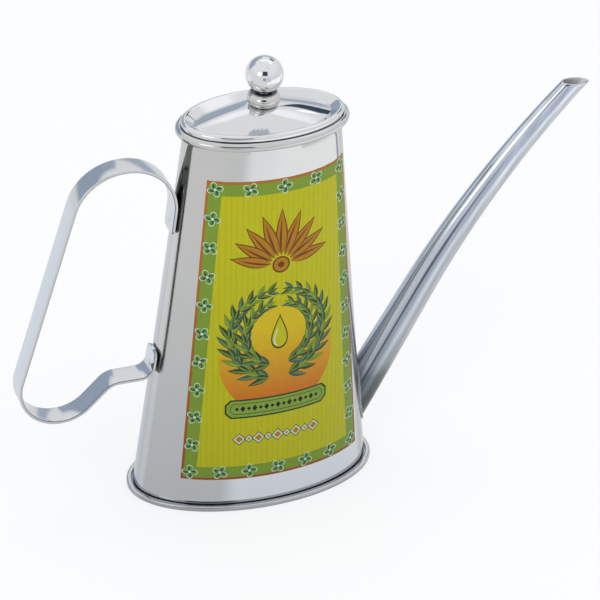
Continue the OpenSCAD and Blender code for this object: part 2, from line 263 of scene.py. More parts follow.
# The strap shows at about a quarter of its tone where other metal mirrors it: painted reflection.
STRAP_STEEL = steel("strap_steel", (0.70, 0.71, 0.72), 0.10, wave=0.03, grain=0.25, grain_scale=(1, 0.06, 1),
                    echo=0.27)
# The strap's cut edges are rougher, with a darker tone that is painted shade, and they are dimmed in mirror images as a
# painted reflection.
EDGE_STEEL = steel("edge_steel", (0.52, 0.53, 0.55), 0.22, wave=0.03, grain=0.3, echo=0.27)
# Near-black steel for the rounded corners of the strap's inner face: a painted shade line.
CORNER_SHADE_STEEL = steel("corner_shade_steel", (0.15, 0.16, 0.18), 0.3, wave=0.03, grain=0.3)
LID_STEEL = steel("lid_steel", (0.74, 0.745, 0.75), 0.04, wave=0.01, grain=0.05)
KNOB_STEEL = steel("knob_steel", (0.79, 0.79, 0.79), 0.02, wave=0.0, grain=0.0)
# Both ends of the collar darken, where it meets the lid and the ball: painted shade.
COLLAR_STEEL = steel("collar_steel", (0.64, 0.64, 0.61), 0.04, wave=0.0, grain=0.05, span=(COLLAR_LOW.z, COLLAR_HIGH.z),
                     shade=[(0.0, (0.40, 0.41, 0.42)), (0.12, (1, 1, 1)), (0.9, (1, 1, 1)), (0.98, (0.2, 0.2, 0.21))])
SOLDER = steel("solder", (0.30, 0.31, 0.30), 0.3, wave=0.6, grain=0.5)
SCREW_STEEL = steel("screw_steel", (0.45, 0.45, 0.46), 0.3, wave=0.05, grain=0.3)


# Can

def rolled_rim_section():
    """The rolled bead: its hollow side and its outer side, as (offset, height), both running clockwise."""
    r = RIM_D / 2
    mid = RIM_OUT - r
    height = TOP_Z - r
    hollow = arc(mid, height, r - SHEET, 180, -118, 40)
    skin = arc(mid, height, r, 180, -118, 40)
    return hollow, skin, height


def bore_out(made, shape):
    """Cuts a closed shape out of a piece: the hole behind the spout."""
    points, faces = shape
    mesh = bpy.data.meshes.new("bore")
    mesh.from_pydata([p * MM for p in points], [], faces)
    tool = bpy.data.objects.new("bore", mesh)
    bpy.context.scene.collection.objects.link(tool)
    step = made.modifiers.new("bore", "BOOLEAN")
    step.object = tool
    step.solver = "EXACT"
    ready = made.evaluated_get(bpy.context.evaluated_depsgraph_get())
    result = bpy.data.meshes.new_from_object(ready)
    made.modifiers.remove(step)
    whole = made.data
    made.data = result
    result.name = whole.name + "_bored"
    bpy.data.meshes.remove(whole)
    bpy.data.objects.remove(tool)
    bpy.data.meshes.remove(mesh)
    result.shade_smooth()
    result.set_sharp_from_angle(angle=math.radians(25))


def make_wall():
    hollow, skin, height = rolled_rim_section()
    flare = height - 3.0
    heights = [lerp(FLOOR_Z, flare, i / 60) for i in range(61)]
    bend = [(flare + 3.0 * i / 6, (i / 6) ** 2 * 0.5) for i in range(1, 6)]
    rings = [wall_ring(z, 0) for z in heights]
    rings += [mouth_ring(lerp(wall_half(z)[0] - MOUTH_A, hollow[0][0], e), z) for z, e in bend]
    rings += [mouth_ring(off, z) for off, z in hollow]
    rings += [mouth_ring(off, z) for off, z in reversed(skin)]
    rings += [mouth_ring(lerp(wall_half(z)[0] - MOUTH_A - SHEET, skin[0][0], e), z) for z, e in reversed(bend)]
    rings += [wall_ring(z, -SHEET) for z in reversed(heights)]
    wall = piece("tin_wall", loft(rings, loop=True), WALL_STEEL, "can", "body_wall")
    angles = [TAU * k / SPOUT_SIDES for k in range(SPOUT_SIDES)]
    bore_out(wall, loft([[spout_point(s, phi, -SPOUT_SHEET) for phi in angles] for s in range(-24, 25, 4)],
                        caps=True))
    wall.data.materials.append(INSIDE_STEEL)
    for face in wall.data.polygons:
        spot = face.center / MM
        if FLOOR_Z < spot.z < flare and outside_wall(spot, -SHEET / 2) < 0:
            face.material_index = 1
    return wall


def make_base():
    inner = SEAM_GAP
    outer = SEAM_GAP + SEAM_W
    edge = 0.35
    floor_top = FLOOR_RISE + SHEET
    outline = [(inner, FLOOR_RISE), (inner, edge)]
    outline += arc(inner + edge, edge, edge, 180, 270, 6)
    outline += arc(outer - edge, edge, edge, 270, 360, 6)
    outline += arc(outer - 0.7, SEAM_H - 0.7, 0.7, 0, 90, 10)
    outline += arc(inner + edge, SEAM_H - edge, edge, 90, 180, 6)
    outline += [(inner, floor_top), (-SHEET - 0.4, floor_top)]
    rings = [[Vector((FOOT_A * k * math.cos(TAU * i / COLUMNS), FOOT_B * k * math.sin(TAU * i / COLUMNS), FLOOR_RISE))
              for i in range(COLUMNS)] for k in (0.02, 0.3, 0.6, 0.9)]
    rings += [oval_ring(FOOT_A, FOOT_B, off, z) for off, z in outline]
    rings += [[Vector((FOOT_A * k * math.cos(TAU * i / COLUMNS), FOOT_B * k * math.sin(TAU * i / COLUMNS), floor_top))
               for i in range(COLUMNS)] for k in (0.9, 0.6, 0.3, 0.02)]
    return piece("tin_base", loft(rings, caps=True), BASE_STEEL, "can", "base_pan")


# Spout

SPOUT_Z = 31.0
SPOUT_ANGLE = math.radians(62.3)
SPOUT_STRAIGHT = 52.0
SPOUT_BEND_R = 400.0
SPOUT_TOP = 166.0
SPOUT_CUT = math.radians(4)
SPOUT_FOOT_D, SPOUT_FOOT_W = 16.2, 14.0
SPOUT_TIP_D, SPOUT_TIP_W = 9.4, 6.4
SPOUT_SHEET = 0.6
SPOUT_SIDES = 96
SPOUT_RISE = SPOUT_TOP - SPOUT_Z - SPOUT_STRAIGHT * math.sin(SPOUT_ANGLE)
SPOUT_TURN = SPOUT_ANGLE - math.acos(math.cos(SPOUT_ANGLE) + SPOUT_RISE / SPOUT_BEND_R)
SPOUT_RUN = SPOUT_STRAIGHT + SPOUT_BEND_R * SPOUT_TURN


def spout_heading(s):
    return SPOUT_ANGLE - max(0.0, s - SPOUT_STRAIGHT) / SPOUT_BEND_R


def spout_mid(s):
    run = min(s, SPOUT_STRAIGHT)
    h = spout_heading(s)
    x = wall_half(SPOUT_Z)[0] + run * math.cos(SPOUT_ANGLE) + SPOUT_BEND_R * (math.sin(SPOUT_ANGLE) - math.sin(h))
    z = SPOUT_Z + run * math.sin(SPOUT_ANGLE) + SPOUT_BEND_R * (math.cos(h) - math.cos(SPOUT_ANGLE))
    return x, z


def spout_point(s, phi, grow):
    x, z = spout_mid(s)
    h = spout_heading(s)
    share = max(0.0, s) / SPOUT_RUN
    p = lerp(SPOUT_FOOT_D, SPOUT_TIP_D, share) / 2 + grow
    q = lerp(SPOUT_FOOT_W, SPOUT_TIP_W, share) / 2 + grow
    return Vector((x - p * math.cos(phi) * math.sin(h), -q * math.sin(phi), z + p * math.cos(phi) * math.cos(h)))


def outside_wall(point, off):
    a, b = wall_half(point.z)
    t = math.atan2(point.y / b, point.x / a)
    edge = oval_point(a, b, off, t, point.z)
    return math.hypot(point.x, point.y) - math.hypot(edge.x, edge.y)


def above_cut(point):
    return point.z - SPOUT_TOP + (point.x - spout_mid(SPOUT_RUN)[0]) * math.tan(SPOUT_CUT)


def first_crossing(value, low, high):
    """Where value turns from negative to positive between low and high."""
    for _ in range(40):
        mid = (low + high) / 2
        if value(mid) < 0:
            low = mid
        else:
            high = mid
    return (low + high) / 2


def spout_foot(phi, grow, off):
    return first_crossing(lambda s: outside_wall(spout_point(s, phi, grow), off), -22, 45)


def spout_mouth(phi, grow, drop=0.0):
    return first_crossing(lambda s: above_cut(spout_point(s, phi, grow)) + drop, SPOUT_RUN - 20, SPOUT_RUN + 12)


def spout_rows(grow, foot_off, drop, rows):
    angles = [TAU * k / SPOUT_SIDES for k in range(SPOUT_SIDES)]
    ends = [(spout_foot(phi, grow, foot_off), spout_mouth(phi, grow, drop)) for phi in angles]
    return [[spout_point(lerp(low, high, i / rows), phi, grow) for phi, (low, high) in zip(angles, ends)]
            for i in range(rows + 1)]


def make_spout():
    lip = SPOUT_SHEET / 2
    rings = spout_rows(0, -SHEET / 2, lip * 0.6, 150)
    for angle in (30, 60, 90, 120, 150):
        turn = math.radians(angle)
        grow = -lip + lip * math.cos(turn)
        drop = lip * 0.6 * (1 - math.sin(turn))
        rings.append([spout_point(spout_mouth(TAU * k / SPOUT_SIDES, grow, drop), TAU * k / SPOUT_SIDES, grow)
                      for k in range(SPOUT_SIDES)])
    skin = len(rings)
    rings += reversed(spout_rows(-SPOUT_SHEET, -SHEET, lip * 0.6, 100))
    spout = piece("spout", loft(rings, loop=True), SPOUT_STEEL, "can", "spout_tube")
    spout.data.materials.append(INSIDE_STEEL)
    for face in spout.data.polygons:
        if face.index // SPOUT_SIDES >= skin:
            face.material_index = 1
    return spout


def make_solder():
    """The bead follows the line where the spout meets the wall, a little uneven as wiped by hand."""
    rings = []
    count = 220
    sides = 12
    line = []
    for k in range(count):
        phi = TAU * k / count
        line.append(spout_point(spout_foot(phi, 0, 0), phi, 0))
    for k in range(count):
        p = line[k]
        along = (line[(k + 1) % count] - line[k - 1]).normalized()
        phi = TAU * k / count
        out = (spout_point(spout_foot(phi, 0, 0), phi, 1) - p).normalized()
        side = along.cross(out).normalized()
        r = 0.75 + 0.18 * noise.noise(p * 0.35) + 0.1 * noise.noise(p * 1.3)
        rings.append([p + r * (out * math.cos(TAU * i / sides) + side * math.sin(TAU * i / sides))
                      for i in range(sides)])
    return piece("spout_weld", loft(rings, loop=True), SOLDER, "can", "spout_solder")


# Handle

STRAP_T = 1.3
STRAP_W = STRAP_HIGH.y - STRAP_LOW.y
GRIP_TOP, GRIP_LOW = 157.9, 43.7
GRIP_REACH, GRIP_LEAN = 90.2, math.radians(15.8)
SHELF_Z, SHELF_LEN = 58.0, 17.4
WELD_TOP, WELD_LOW = 129.5, 63.0
TAB_TOP_LEN, TAB_LOW_LEN = 4.0, 7.0
BEND_RADII = [20.5, 21.5, 17.0, 16.5, 8.0, 5.5]
TOUCH = 0.05


def wall_slope(z):
    return Vector((wall_half(z - 1)[0] - wall_half(z + 1)[0], 2)).normalized()


def tab_point(z, up):
    return Vector((-wall_half(z)[0] - STRAP_T / 2 - TOUCH, z)) + up * wall_slope(z)


def meet(p, u, q, v):
    """Where the line through p along u meets the line through q along v."""
    return p + u * ((q - p).cross(v) / u.cross(v))


def strap_knots():
    level = Vector((1, 0))
    grip = Vector((math.sin(GRIP_LEAN), math.cos(GRIP_LEAN)))
    grip_mid = Vector((-GRIP_REACH, (GRIP_TOP + GRIP_LOW) / 2))
    top, low = Vector((0, GRIP_TOP)), Vector((0, GRIP_LOW))
    a = meet(tab_point(WELD_TOP, 0), wall_slope(WELD_TOP), top, level)
    b = meet(grip_mid, grip, top, level)
    c = meet(grip_mid, grip, low, level)
    f = meet(tab_point(WELD_LOW, 0), wall_slope(WELD_LOW), Vector((0, SHELF_Z)), level)
    e = f - Vector((SHELF_LEN, 0))
    d = meet(e, Vector((1, 1)), low, level)
    return [tab_point(WELD_TOP, -TAB_TOP_LEN), a, b, c, d, e, f, tab_point(WELD_LOW, TAB_LOW_LEN)]


def strap_line():
    """The strap's middle line in the plane y = 0, with round bends at its knots."""
    knots = strap_knots()
    line = [knots[0]]
    for i, r in enumerate(BEND_RADII, start=1):
        u = (knots[i - 1] - knots[i]).normalized()
        v = (knots[i + 1] - knots[i]).normalized()
        half = math.acos(max(-1, min(1, u.dot(v)))) / 2
        mid = knots[i] + (u + v).normalized() * r / math.sin(half)
        start = knots[i] + u * r / math.tan(half) - mid
        end = knots[i] + v * r / math.tan(half) - mid
        first = math.atan2(start.y, start.x)
        turn = math.atan2(start.cross(end), start.dot(end))
        steps = max(8, int(abs(turn) * r / 0.8))
        line += [mid + r * Vector((math.cos(first + turn * k / steps), math.sin(first + turn * k / steps)))
                 for k in range(steps + 1)]
    return line + [knots[-1]]


def spaced(line, step):
    """The line again, with points at even steps."""
    out = [line[0]]
    for p, q in zip(line, line[1:]):
        count = max(1, int((q - p).length / step))
        out += [p.lerp(q, k / count) for k in range(1, count + 1)]
    return out


def strap_section(low, high, r=0.25):
    """Rounded rectangle of (across the thickness, across the width)."""
    t = STRAP_T / 2
    points = arc(t - r, high - r, r, 0, 90, 4) + arc(-t + r, high - r, r, 90, 180, 4)
    return points + arc(-t + r, low + r, r, 180, 270, 4) + arc(t - r, low + r, r, 270, 360, 4)


def make_strap():
    line = spaced(strap_line(), 0.8)
    lengths = [0.0]
    for p, q in zip(line, line[1:]):
        lengths.append(lengths[-1] + (q - p).length)
    total = lengths[-1]
    corner = 3.0
    clip = 0.8
    rings = []
    half = STRAP_W / 2

    def narrowing(d, r):
        return 0.0 if d >= r else r - math.sqrt(max(0.0, r * r - (r - d) ** 2))

    for i, p in enumerate(line):
        along = (line[min(i + 1, len(line) - 1)] - line[max(i - 1, 0)]).normalized()
        across = Vector((-along.y, along.x))
        d0, d1 = lengths[i], total - lengths[i]
        high = half - narrowing(d0, corner) - narrowing(d1, corner)
        low = -half + narrowing(d0, clip) + narrowing(d1, corner)
        rings.append([Vector((p.x + n * across.x, y, p.y + n * across.y)) for n, y in strap_section(low, high)])
    strap = piece("handle", loft(rings, caps=True), STRAP_STEEL, "can", "handle_strap")
    # The cut edges take the darker edge steel, and the inner face's rounded corners the near-black steel: painted
    # shade.
    strap.data.materials.append(EDGE_STEEL)
    strap.data.materials.append(CORNER_SHADE_STEEL)
    sides = len(rings[0])
    for face in strap.data.polygons[:-2]:
        side = face.index % sides
        if side in (4, 14):
            face.material_index = 1
        elif side < 4 or side in (15, 16, 17, 18):
            face.material_index = 2
    return strap


# Lid

LID_GAP = 0.3
EDGE_Z = TOP_Z + LID_GAP
RING_TOP = TOP_Z + 2.4
RING_W = 5.3
RING_ROUND = 1.4
DOME_H = 5.9
DOME_CURVE = 1.4
SEAT_R = 5.08
HOLE_R = 2.1


def lid_section():
    """The lid's upper face from its edge over the ring to the valley, as (offset, height)."""
    mid = (LID_OVER - RING_ROUND, RING_TOP - RING_ROUND)
    valley = (LID_OVER - RING_W, EDGE_Z)
    run = mid[0] - valley[0]
    rise = mid[1] - valley[1]
    slope = math.atan2(rise, run) + math.asin(RING_ROUND / math.hypot(run, rise))
    points = [(LID_OVER, EDGE_Z), (LID_OVER, EDGE_Z + 0.4)]
    points += arc(mid[0], mid[1], RING_ROUND, 0, 90 + math.degrees(slope), 24)
    last = points[-1]
    points += [(lerp(last[0], valley[0], k / 20), lerp(last[1], valley[1], k / 20)) for k in range(1, 20)]
    return points


def beside(points, d):
    """A line of (offset, height) moved to the left of its direction by d."""
    out = []
    for i, p in enumerate(points):
        a = Vector(points[max(i - 1, 0)])
        b = Vector(points[min(i + 1, len(points) - 1)])
        t = (b - a).normalized()
        out.append((p[0] - d * t.y, p[1] + d * t.x))
    return out


def dome_rings(drop, rows=48):
    valley = mouth_ring(LID_OVER - RING_W, EDGE_Z)
    rings = []
    for i in range(rows + 1):
        u = 1 - i / rows
        z = EDGE_Z + DOME_H * (1 - u ** DOME_CURVE) - drop
        ring = []
        for p in valley:
            flat = Vector((p.x, p.y))
            seat = flat.normalized() * SEAT_R
            at = seat.lerp(flat, u)
            ring.append(Vector((at.x, at.y, z)))
        rings.append(ring)
    return rings


def make_lid():
    top = lid_section()
    under = beside(top, SHEET)
    hole = [[Vector((HOLE_R * math.cos(TAU * k / COLUMNS), HOLE_R * math.sin(TAU * k / COLUMNS), z))
             for k in range(COLUMNS)] for z in (EDGE_Z + DOME_H, EDGE_Z + DOME_H - SHEET)]
    rings = [mouth_ring(off, z) for off, z in top] + dome_rings(0) + hole
    rings += list(reversed(dome_rings(SHEET))) + [mouth_ring(off, z) for off, z in reversed(under)]
    return piece("lid", loft(rings, loop=True), LID_STEEL, "lid", "lid_cover")


def make_sleeve():
    out = SLEEVE_HIGH.x - MOUTH_A
    low, high = SLEEVE_LOW.z, SLEEVE_HIGH.z - 0.4
    section = [(out, lerp(low + 0.2, high, k / 12)) for k in range(13)]
    section += [(out - SHEET, lerp(high, low + 0.2, k / 12)) for k in range(13)]
    section += [(out - SHEET + 0.15, low), (out - 0.15, low)]
    rings = [mouth_ring(off, z) for off, z in section]
    return piece("lid_band", loft(rings, loop=True), BASE_STEEL, "lid", "lid_sleeve")


# Knob

def make_knob():
    ball_r = (BALL_HIGH.z - BALL_LOW.z) / 2
    ball_z = (BALL_HIGH.z + BALL_LOW.z) / 2
    steps = 72
    start, end = -88, 88
    outline = arc(0, ball_z, ball_r, start, end, steps)
    piece("ball", revolve(outline, 144), KNOB_STEEL, "lid", "knob_ball")
    bulge_r = 3.2
    low, high = COLLAR_LOW.z, COLLAR_HIGH.z
    mid = low + (high - low) * 0.48
    x = COLLAR_HIGH.x - bulge_r
    start = -math.degrees(math.asin((mid - low) / bulge_r))
    outline = [(HOLE_R, low)] + arc(x, mid, bulge_r, start, 70, 40)
    outline += [(3.75, high - 0.05), (3.6, high), (3.2, high - 0.1), (2.6, high - 0.35)]
    piece("collar", revolve(outline, 144), COLLAR_STEEL, "lid", "knob_collar")


def make_screw():
    """Pan head with a six-sided socket, and the shank that runs up into the ball."""
    def round_ring(r, z):
        return [Vector((r * math.cos(TAU * k / 96), r * math.sin(TAU * k / 96), z)) for k in range(96)]

    def six_ring(r, z):
        ring = []
        for k in range(96):
            turn = TAU * k / 96
            reach = r / math.cos((turn + math.pi / 6) % (math.pi / 3) - math.pi / 6)
            ring.append(Vector((reach * math.cos(turn), reach * math.sin(turn), z)))
        return ring

    low, high = SCREW_LOW.z, SCREW_HIGH.z
    head_r = SCREW_HIGH.x
    head_top = low + 2.2
    shank_r = 2.0
    rings = [six_ring(1.1, low + 1.3), six_ring(1.25, low + 1.25), six_ring(1.25, low + 0.05), six_ring(1.35, low)]
    rings += [round_ring(head_r - 0.6, low), round_ring(head_r - 0.25, low + 0.12), round_ring(head_r, low + 0.5)]
    rings += [round_ring(head_r, head_top - 0.1), round_ring(head_r - 0.1, head_top), round_ring(shank_r, head_top)]
    rings += [round_ring(shank_r, high - 0.4), round_ring(shank_r - 0.4, high)]
    return piece("screw", loft(rings, caps=True), SCREW_STEEL, "lid", "knob_screw", 35)


def make_weld(name, z):
    """The shallow dimple of a spot weld on the outer face of a tab."""
    outline = [(1.7, -0.05), (1.45, 0.1), (1.1, 0.14), (0.8, 0.02), (0.5, 0.0), (0.25, 0.08), (0.05, 0.1)]
    points, faces = revolve(outline, 32)
    slope = wall_slope(z)
    out = Vector((-slope.y, 0, slope.x))
    up = Vector((slope.x, 0, slope.y))
    at = tab_point(z, 0)
    base = Vector((at.x, 0, at.y)) + out * (STRAP_T / 2)
    side = up.cross(out)
    points = [base + side * p.x + up * p.y + out * p.z for p in points]
    return piece(name, (points, faces), STRAP_STEEL, "can")


# Label

LABEL_SHIFT = 2.6
LABEL_W_LOW, LABEL_W_HIGH = 78.4, 58.4
LABEL_T = 0.15
BORDER = 6.3
LABEL_Z0, LABEL_Z1 = LABEL_LOW.z, LABEL_HIGH.z


def tone(red, green, blue):
    """A screen colour as linear light."""
    return tuple(c / 12.92 if c <= 0.04045 else ((c + 0.055) / 1.055) ** 2.4
                 for c in (red / 255, green / 255, blue / 255))


def ink(name, colour, low=None, span=(14, 153)):
    """Printed lacquer with faint mottling, and the tone that it has at the lower end of its span: by default about a
    fifth darker, as painted shade.
    """
    material, tree, shader = new_material(name)
    link = tree.links.new
    shader.inputs["Specular IOR Level"].default_value = 0.2
    place = node(tree, "ShaderNodeTexCoord")
    dots = node(tree, "ShaderNodeTexNoise", {"Scale": 420.0, "Detail": 3.0})
    link(place.outputs["Object"], dots.inputs["Vector"])
    shade = ramp(tree, dots.outputs["Fac"], [(0.3, tuple(c * 0.94 for c in colour)), (0.7, colour)])
    parts = node(tree, "ShaderNodeSeparateXYZ")
    link(place.outputs["Object"], parts.inputs[0])
    height = node(tree, "ShaderNodeMapRange", {"From Min": span[0] * MM, "From Max": span[1] * MM})
    link(parts.outputs["Z"], height.inputs["Value"])
    # Painted shade: towards the foot the ink darkens to low, or by about a fifth without it. The round's low is its
    # printed orange instead.
    fall = tuple(a / b for a, b in zip(low, colour)) if low else (0.80, 0.82, 0.84)
    shade = times(tree, shade, ramp(tree, height.outputs["Result"], [(0.0, fall), (0.85, (1, 1, 1))]))
    link(shade, shader.inputs["Base Color"])
    wear = node(tree, "ShaderNodeMapRange", {"To Min": 0.28, "To Max": 0.40})
    link(dots.outputs["Fac"], wear.inputs["Value"])
    link(wear.outputs["Result"], shader.inputs["Roughness"])
    return material


INKS = {
    "ground": ink("ink_ground", tone(181, 177, 16)),
    "stripe": ink("ink_stripe", tone(166, 162, 18)),
    # The outline's lower tone is painted shade.
    "outline": ink("ink_outline", tone(166, 104, 28), tone(132, 68, 26)),
    "border": ink("ink_border", tone(118, 144, 46)),
    "pale": ink("ink_pale", tone(196, 206, 180)),
    "petal": ink("ink_petal", tone(88, 136, 62)),
    "petal_dark": ink("ink_petal_dark", tone(34, 70, 36)),
    "amber": ink("ink_amber", tone(168, 114, 22)),
    "amber_dark": ink("ink_amber_dark", tone(100, 56, 14)),
    # The round's lower tone is its printed orange, not shade.
    "round": ink("ink_round", tone(196, 170, 22), tone(178, 78, 22), (46, 92)),
    "leaf": ink("ink_leaf", tone(40, 68, 46)),
    "leaf_light": ink("ink_leaf_light", tone(108, 130, 40)),
    "leaf_blue": ink("ink_leaf_blue", tone(56, 86, 80)),
    "line": ink("ink_line", tone(22, 54, 24)),
    "tablet": ink("ink_tablet", tone(126, 152, 56)),
    "dark": ink("ink_dark", tone(26, 30, 18)),
}
ARC_TABLES = {}


def arc_table(z):
    """Distance along the front from the label's middle, at even turns of the oval at height z."""
    key = round(z * 2)
    if key not in ARC_TABLES:
        a, b = wall_half(key / 2)
        steps = 240
        turns = [-math.pi * (1 - k / steps) for k in range(steps + 1)]
        spots = [Vector((a * math.cos(t), b * math.sin(t))) for t in turns]
        runs = [0.0]
        for p, q in zip(spots, spots[1:]):
            runs.append(runs[-1] + (q - p).length)
        middle = between(LABEL_SHIFT, [p.x for p in spots], runs)
        ARC_TABLES[key] = (turns, [p.x for p in spots], [r - middle for r in runs])
    return ARC_TABLES[key]


def between(value, keys, values):
    """The value that goes with a key, from two rising lists."""
    low, high = 0, len(keys) - 1
    while high - low > 1:
        mid = (low + high) // 2
        if keys[mid] > value:
            high = mid
        else:
            low = mid
    return lerp(values[low], values[high], (value - keys[low]) / (keys[high] - keys[low]))


def label_edge(side, z, inset=0.0):
    """Where the label's edge lies at height z, along the wall from the label's middle."""
    half = lerp(LABEL_W_LOW, LABEL_W_HIGH, (z - LABEL_Z0) / (LABEL_Z1 - LABEL_Z0)) / 2
    turns, xs, runs = arc_table(z)
    return between(LABEL_SHIFT + side * half, xs, runs) - side * inset


def on_wall(p, off):
    turns, xs, runs = arc_table(p[1])
    a, b = wall_half(p[1])
    return oval_point(a, b, off, between(p[0], runs, turns), p[1])


def frame_shape(inset):
    """The label's own outline, drawn in by inset."""
    rows = 36
    heights = [lerp(LABEL_Z0 + inset, LABEL_Z1 - inset, k / rows) for k in range(rows + 1)]
    right = [(label_edge(1, z, inset), z) for z in heights]
    left = [(label_edge(-1, z, inset), z) for z in reversed(heights)]
    return right + left


def turned(points, at, angle, size=1.0):
    c, n = math.cos(angle) * size, math.sin(angle) * size
    return [(at[0] + x * c - y * n, at[1] + x * n + y * c) for x, y in points]


def leaf(length, width, half=False, steps=5):
    """A pointed leaf along +x, or only its left half."""
    upper = [(length * k / steps, width / 2 * math.sin(math.pi * (k / steps) ** 0.8)) for k in range(steps + 1)]
    if half:
        return upper
    return upper + [(x, -y) for x, y in reversed(upper[1:-1])]


def disc(at, r, count=16, flat=1.0):
    return [(at[0] + r * math.cos(TAU * k / count), at[1] + r * flat * math.sin(TAU * k / count))
            for k in range(count)]


def rosette(shapes, at, angle, size=1.0):
    """Four petals with a pale rim and a dark vein each, round a pale eye."""
    def lobes(reach, waist):
        return [(math.cos(TAU * k / 32) * lobe, math.sin(TAU * k / 32) * lobe)
                for k in range(32) for lobe in [waist + (reach - waist) * abs(math.cos(TAU * k / 16)) ** 0.8]]
    shapes.append((turned(lobes(3.7, 1.5), at, angle, size), "pale"))
    shapes.append((turned(lobes(3.25, 1.05), at, angle, size), "petal"))
    for k in range(4):
        turn = angle + TAU * k / 4
        shapes.append((turned(leaf(3.0, 1.7, True, 4), at, turn, size), "petal_dark"))
    shapes.append((disc(at, 0.75 * size, 8), "pale"))


def spray(shapes, middle, r, side, count, length, start, end):
    """Leaves in pairs along an arc that climbs one side of the wreath."""
    tones = ["leaf", "leaf_blue", "leaf", "leaf_light"]
    for k in range(count):
        u = k / (count - 1)
        turn = math.radians(lerp(start, end, u))
        at = (middle[0] + side * r * math.cos(turn), middle[1] + r * math.sin(turn))
        ahead = math.atan2(math.cos(turn), -side * math.sin(turn))
        fade = 1 - 0.35 * u * u
        for n, lean in enumerate((0.55, -0.5, 0.08)):
            name = tones[(k + n) % 4]
            size = length * fade * (1.0, 0.92, 0.8)[n]
            shapes.append((turned(leaf(size, size * 0.3), at, ahead + lean), name))
            light = "leaf_light" if name != "leaf_light" else "tablet"
            shapes.append((turned(leaf(size * 0.92, size * 0.2, True, 4), at, ahead + lean), light))


def label_print():
    """Every printed shape from the bottom layer up, as (outline, ink)."""
    shapes = [(frame_shape(0), "outline"), (frame_shape(1.1), "border"), (frame_shape(BORDER), "ground")]
    for k in range(-16, 17):
        s = k * 2.3
        low = LABEL_Z0 + BORDER + 0.01
        high = LABEL_Z1 - BORDER - 0.01
        side = 1 if s > 0 else -1
        while high > low and abs(label_edge(side, high, BORDER)) < abs(s) + 0.3:
            high -= 0.5
        if high > low + 4:
            shapes.append(([(s, low), (s + 0.3, low), (s + 0.3, high), (s, high)], "stripe"))
    # Fan of petals at the top, round a small disc at its root
    root = (0, 114)
    for k in range(-4, 5):
        turn = math.radians(90 + k * 19.5)
        size = 21.5 - 1.0 * abs(k)
        start = (root[0] + 4.2 * math.cos(turn), root[1] + 4.2 * math.sin(turn))
        shapes.append((turned(leaf(size, 5.2, steps=8), start, turn), "amber_dark"))
        shapes.append((turned(leaf(size - 1.0, 4.2, steps=8), start, turn), "amber"))
        shapes.append((turned(leaf(size - 3.5, 1.8, True, 6), start, turn), "amber_dark"))
    shapes.append((disc(root, 3.8, 20), "amber_dark"))
    shapes.append((disc(root, 3.1, 20), "amber"))
    shapes.append((disc(root, 1.4, 12), "amber_dark"))
    # Round and wreath
    shapes.append((disc((0, 70), 25, 56), "round"))
    middle = (0, 82)
    for side in (-1, 1):
        spray(shapes, middle, 20.5, side, 13, 9.5, -78, 74)
        spray(shapes, middle, 14.5, side, 10, 8.5, -74, 66)
    drop = [(5.2 * math.sin(t) * math.sin(t / 2) ** 1.5, 8.2 * math.cos(t)) for t in
            [TAU * k / 28 for k in range(28)]]
    shapes.append(([(x, 83 + y) for x, y in drop], "line"))
    shapes.append(([(x * 0.86, 82.8 + y * 0.88) for x, y in drop], "ground"))
    shapes.append(([(x * 0.45 - 0.9, 80.6 + y * 0.5) for x, y in drop], "pale"))
    shapes.append(([(x * 0.45 - 0.2, 80.9 + y * 0.52) for x, y in drop], "ground"))
    # Tablet with a row of dots, and lozenges below it
    def plate(half, low, high, cut):
        return [(-half + cut, low), (half - cut, low), (half, low + cut), (half, high - cut), (half - cut, high),
                (-half + cut, high), (-half, high - cut), (-half, low + cut)]
    shapes.append((plate(22.5, 43.6, 52.6, 2.4), "line"))
    shapes.append((plate(21.8, 44.3, 51.9, 2.1), "tablet"))
    shapes.append((plate(20.4, 45.5, 50.7, 1.6), "line"))
    shapes.append((plate(20.1, 45.8, 50.4, 1.4), "tablet"))
    for k in range(-7, 8):
        at = (k * 2.5, 48.1)
        if k % 2:
            shapes.append((disc(at, 0.75, 10), "dark"))
        else:
            shapes.append(([(at[0] - 1.1, at[1]), (at[0], at[1] - 1.5), (at[0] + 1.1, at[1]), (at[0], at[1] + 1.5)],
                           "dark"))
    for k in range(-4, 5):
        at = (k * 4.1, 33.5)
        r = 2.5 if k % 2 == 0 else 1.6
        for grow, name in ((0.45, "dark"), (0.0, "pale"), (-0.9, "amber")):
            w = r + grow
            shapes.append(([(at[0] - w, at[1]), (at[0], at[1] - w), (at[0] + w, at[1]), (at[0], at[1] + w)], name))
    # Rosettes round the border
    inset = 3.6
    low, high = LABEL_Z0 + inset, LABEL_Z1 - inset
    for side in (-1, 1):
        for k in range(11):
            z = lerp(low, high, k / 10)
            rosette(shapes, (label_edge(side, z, inset), z), 0.5 * k, 0.92)
    for z, count in ((low, 6), (high, 4)):
        first, last = label_edge(-1, z, inset), label_edge(1, z, inset)
        for k in range(1, count):
            rosette(shapes, (lerp(first, last, k / count), z), 0.4 + 0.6 * k, 0.92)
    return shapes


